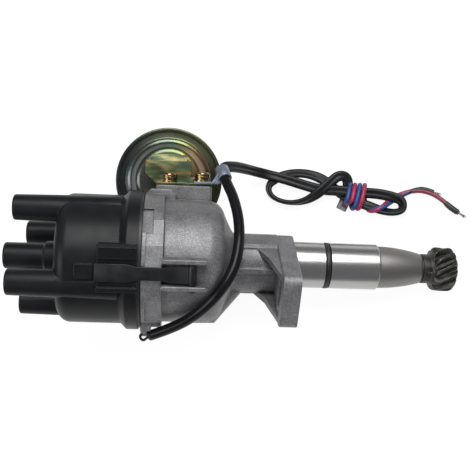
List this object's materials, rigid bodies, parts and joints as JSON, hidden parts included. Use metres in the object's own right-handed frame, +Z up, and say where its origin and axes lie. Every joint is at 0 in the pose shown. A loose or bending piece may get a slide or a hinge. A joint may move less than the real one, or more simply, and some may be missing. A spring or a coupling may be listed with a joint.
{
  "type": "ignition distributor",
  "caption": "Ignition distributor with black cap and towers, cast housing, vacuum can, slotted flange, long pilot and helical drive gear.",
  "frame": {"origin": "on the drive shaft's axis, in the mounting face of the flange", "axes": "+X along the shaft towards the drive gear, +Y towards the vacuum can, +Z up. Laid on a table the part rests on its gear, a clip guard and the hose nipple, 20 degrees over from this frame, and the lead lies on that table"},
  "size_m": [0.2899, 0.1319, 0.1129],
  "materials": {
    "cast_alloy": "as cast, sand textured",
    "cap_plastic": "moulded, satin",
    "black_rubber": "satin",
    "grey_rubber": "matt",
    "terminal_alloy": "turned",
    "carbon": "matt carbon",
    "spring_steel": "drawn",
    "rotor_plastic": "moulded",
    "brass": "rolled",
    "machined_steel": "turned",
    "gear_steel": "hobbed, oiled",
    "bronze": "sintered",
    "zinc_steel": "zinc plated",
    "gold_zinc": "yellow zinc plated",
    "yellow_zinc": "yellow zinc plated, uneven",
    "bracket_zinc": "zinc plated",
    "clamp_zinc": "blue zinc plated",
    "pickup_plastic": "moulded",
    "dark_spring": "blackened",
    "sleeve_plastic": "smooth tube",
    "lead_plastic": "satin insulation",
    "wire_blue": "satin insulation"
  },
  "bodies": {
    "fixed": {"housing": "cast_alloy", "cap": "cap_plastic", "cap_gasket": "black_rubber", "plug_terminals": "terminal_alloy", "coil_terminal": "terminal_alloy", "brush_spring": "spring_steel", "upper_bush": "bronze", "lower_bush": "bronze", "oil_seal": "black_rubber", "o_ring": "black_rubber", "gear_washer": "bronze", "shaft_washer": "bronze", "base_plate": "zinc_steel", "base_plate_screws": "gold_zinc", "dust_shield": "rotor_plastic", "clip_pins": "dark_spring", "can_front": "yellow_zinc", "can_rear": "yellow_zinc", "can_nipple": "zinc_steel", "diaphragm_rim": "black_rubber", "can_spring": "spring_steel", "vacuum_bracket": "bracket_zinc", "bracket_screws": "gold_zinc", "screw_washers": "gold_zinc", "lead_clamp": "clamp_zinc", "lead_grommet": "grey_rubber", "lead_stub": "lead_plastic", "lead_sleeve": "sleeve_plastic", "lead_run": "lead_plastic", "lead_hank": "lead_plastic", "lead_tail": "wire_blue"},
    "shaft": {"main_shaft": "machined_steel", "sleeve_screw": "machined_steel", "drive_gear": "gear_steel", "gear_pin": "machined_steel", "governor_base": "machined_steel", "weight_pins": "machined_steel", "governor_springs": "spring_steel"},
    "rotor": {"rotor_sleeve": "machined_steel", "cam_plate": "machined_steel", "reluctor": "machined_steel", "rotor_arm": "rotor_plastic", "rotor_electrode": "brass"},
    "weight_a": {"governor_weight_a": "machined_steel"},
    "weight_b": {"governor_weight_b": "machined_steel"},
    "pickup": {"pickup_plate": "zinc_steel", "rod_pin": "machined_steel", "pickup_core": "machined_steel", "pickup_coil": "pickup_plastic"},
    "vacuum_link": {"vacuum_rod": "zinc_steel", "diaphragm": "black_rubber", "diaphragm_cup": "zinc_steel"},
    "brush": {"carbon_brush": "carbon"},
    "front_clip": {"clip_front": "dark_spring"},
    "rear_clip": {"clip_rear": "dark_spring"}
  },
  "joints": [
    {"name": "drive_spin", "type": "hinge", "parent": "fixed", "child": "shaft", "pos_m": [0, 0, 0], "axis": [1, 0, 0], "continuous": true},
    {"name": "centrifugal_advance", "type": "hinge", "parent": "shaft", "child": "rotor", "pos_m": [0, 0, 0], "axis": [-1, 0, 0], "range_deg": [0, 12], "stiffness_Nm_per_rad": 0.1},
    {"name": "weight_a_swing", "type": "hinge", "parent": "shaft", "child": "weight_a", "pos_m": [-0.0564, 0.017, 0], "axis": [-1, 0, 0], "range_deg": [0, 13.8]},
    {"name": "weight_b_swing", "type": "hinge", "parent": "shaft", "child": "weight_b", "pos_m": [-0.0564, -0.017, 0], "axis": [-1, 0, 0], "range_deg": [0, 13.8]},
    {"name": "pickup_turn", "type": "hinge", "parent": "fixed", "child": "pickup", "pos_m": [-0.066, 0, 0], "axis": [-1, 0, 0], "range_deg": [0, 8.6], "stiffness_Nm_per_rad": 0.3},
    {"name": "vacuum_slide", "type": "slide", "parent": "fixed", "child": "vacuum_link", "axis": [0, 0, -1], "range_m": [0, 0.0043], "stiffness_N_per_m": 20, "deforming": ["can_spring"]},
    {"name": "brush_slide", "type": "slide", "parent": "fixed", "child": "brush", "axis": [-1, 0, 0], "range_m": [0, 0.0015], "stiffness_N_per_m": 100},
    {"name": "front_clip_swing", "type": "hinge", "parent": "fixed", "child": "front_clip", "pos_m": [-0.061, -0.00435, 0.04137], "axis": [0, 0.9945, 0.1045], "range_deg": [0, 100]},
    {"name": "rear_clip_swing", "type": "hinge", "parent": "fixed", "child": "rear_clip", "pos_m": [-0.061, -0.00865, -0.04069], "axis": [0, -0.9781, 0.2079], "range_deg": [0, 100]}
  ],
  "couplings": [
    {"joint": "weight_a_swing", "follows": "centrifugal_advance", "ratio": 1.146},
    {"joint": "weight_b_swing", "follows": "centrifugal_advance", "ratio": 1.146},
    {"joint": "vacuum_slide", "follows": "pickup_turn", "m_per_rad": 0.0284}
  ]
}
